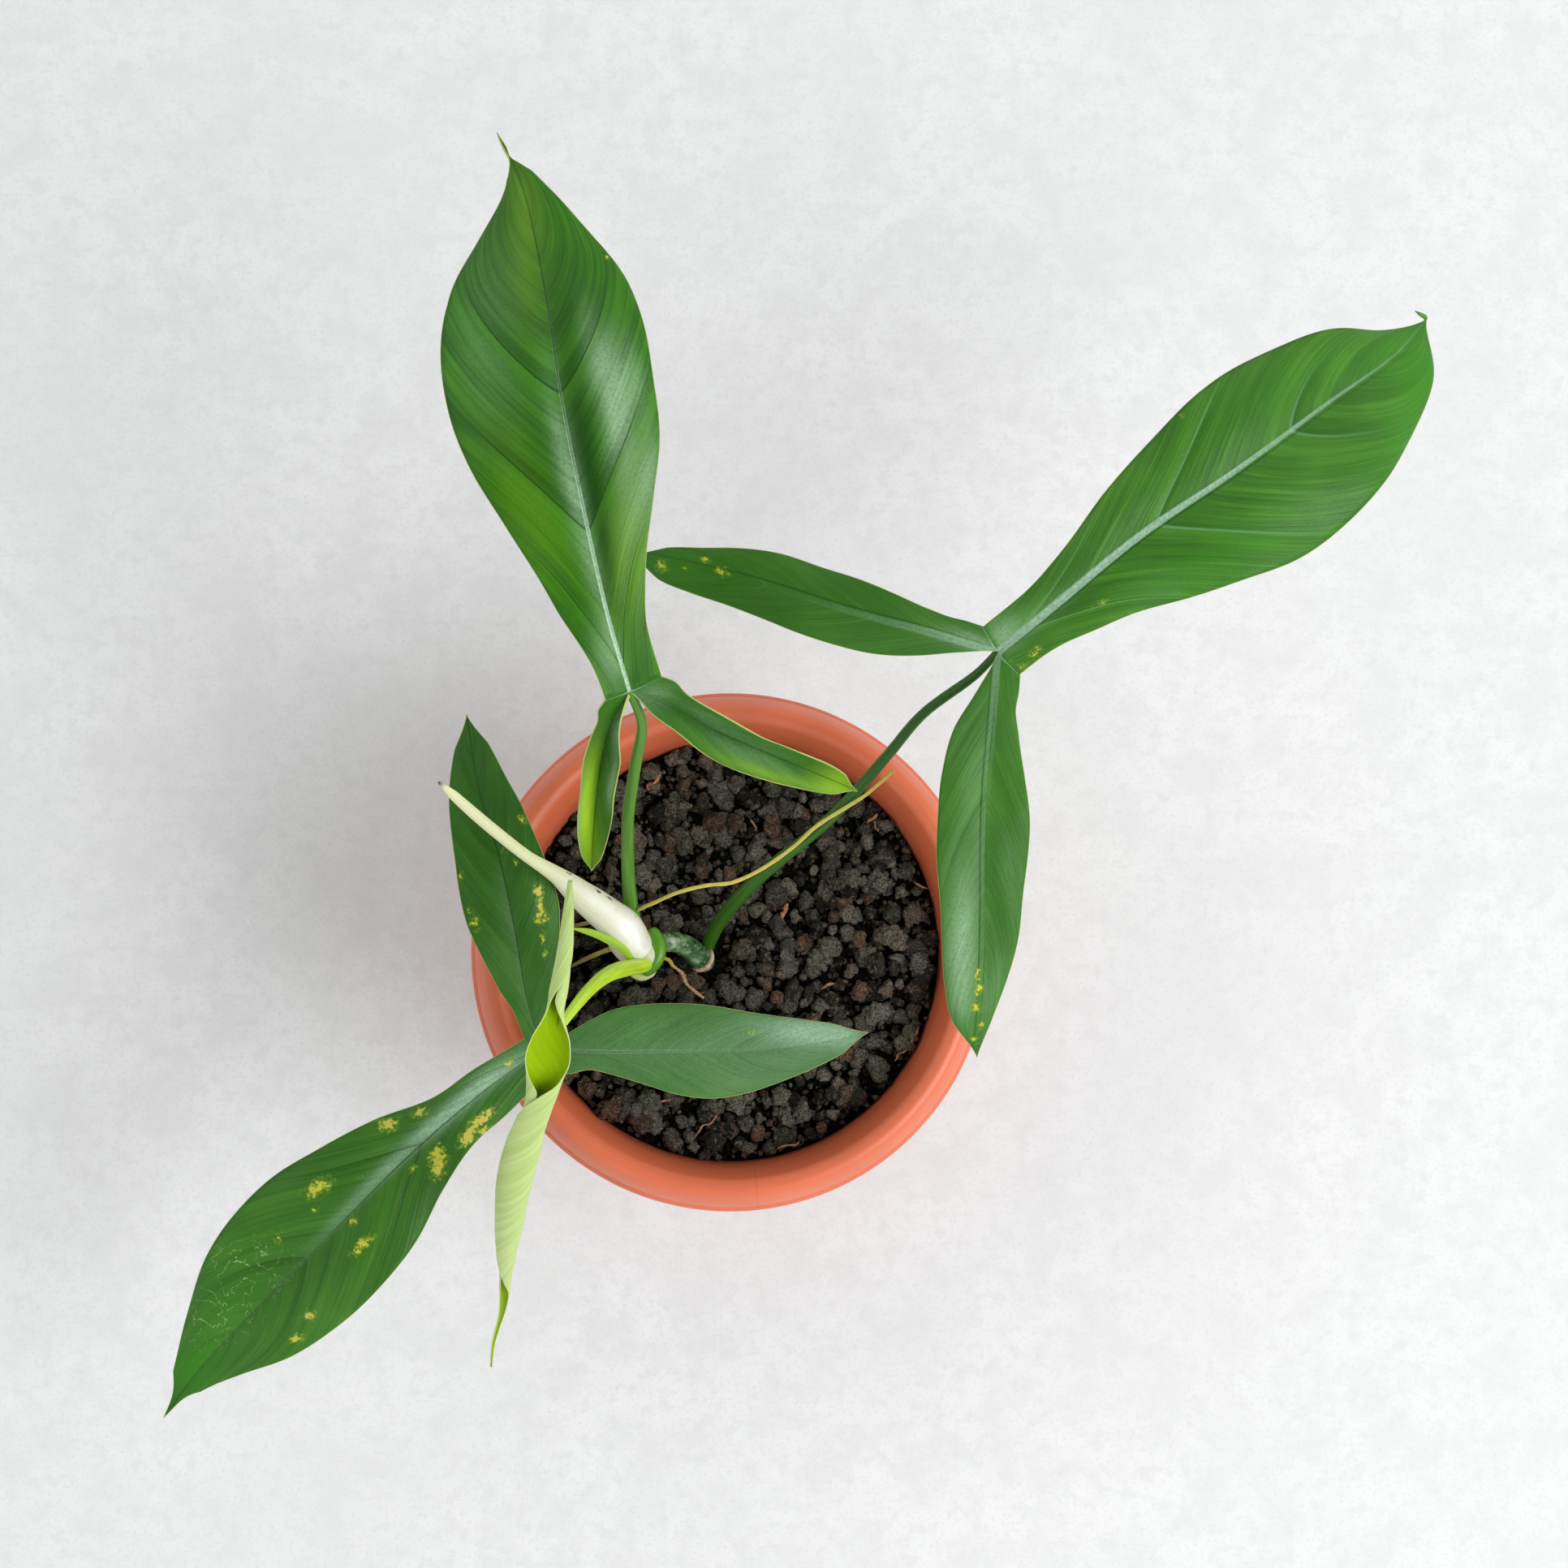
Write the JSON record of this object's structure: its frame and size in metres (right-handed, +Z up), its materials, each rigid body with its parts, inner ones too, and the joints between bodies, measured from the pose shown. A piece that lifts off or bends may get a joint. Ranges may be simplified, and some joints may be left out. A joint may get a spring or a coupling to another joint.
{
  "type": "potted philodendron",
  "caption": "Leafy aroid house plant in a round plastic pot of gritty soil, with lobed leaves on long stalks, a rolled new leaf, a pale sheath and aerial roots.",
  "frame": {"origin": "centre of the pot's flat base", "axes": "+Z up along the pot's axis; -Y towards the front, where the new leaf's tip hangs; +X to the right"},
  "size_m": [0.4241, 0.4121, 0.2682],
  "materials": {
    "terracotta": "satin terracotta-coloured plastic",
    "soil": "matt dark volcanic grit",
    "stem": "satin dark grey-green",
    "stalk": "satin green",
    "young_stalk": "satin lime green",
    "sheath": "satin ivory",
    "leaf": "satin deep green with paler veins",
    "young_leaf": "satin pale lime green",
    "root": "satin yellow",
    "dry_root": "matt brown"
  },
  "bodies": {
    "root": {"pot": "terracotta", "soil": "soil", "stem": "stem", "leaf_back_stalk": "stalk", "leaf_right_stalk": "stalk", "leaf_front_stalk": "stalk", "leaf_new_stalk": "young_stalk", "cataphyll": "sheath", "inner_sheath": "young_stalk", "leaf_back_blade": "leaf", "leaf_right_blade": "leaf", "leaf_front_blade": "leaf", "leaf_new_blade": "young_leaf", "root_long": "root", "root_left": "root", "root_small": "root", "root_brown": "dry_root"}
  },
  "joints": []
}
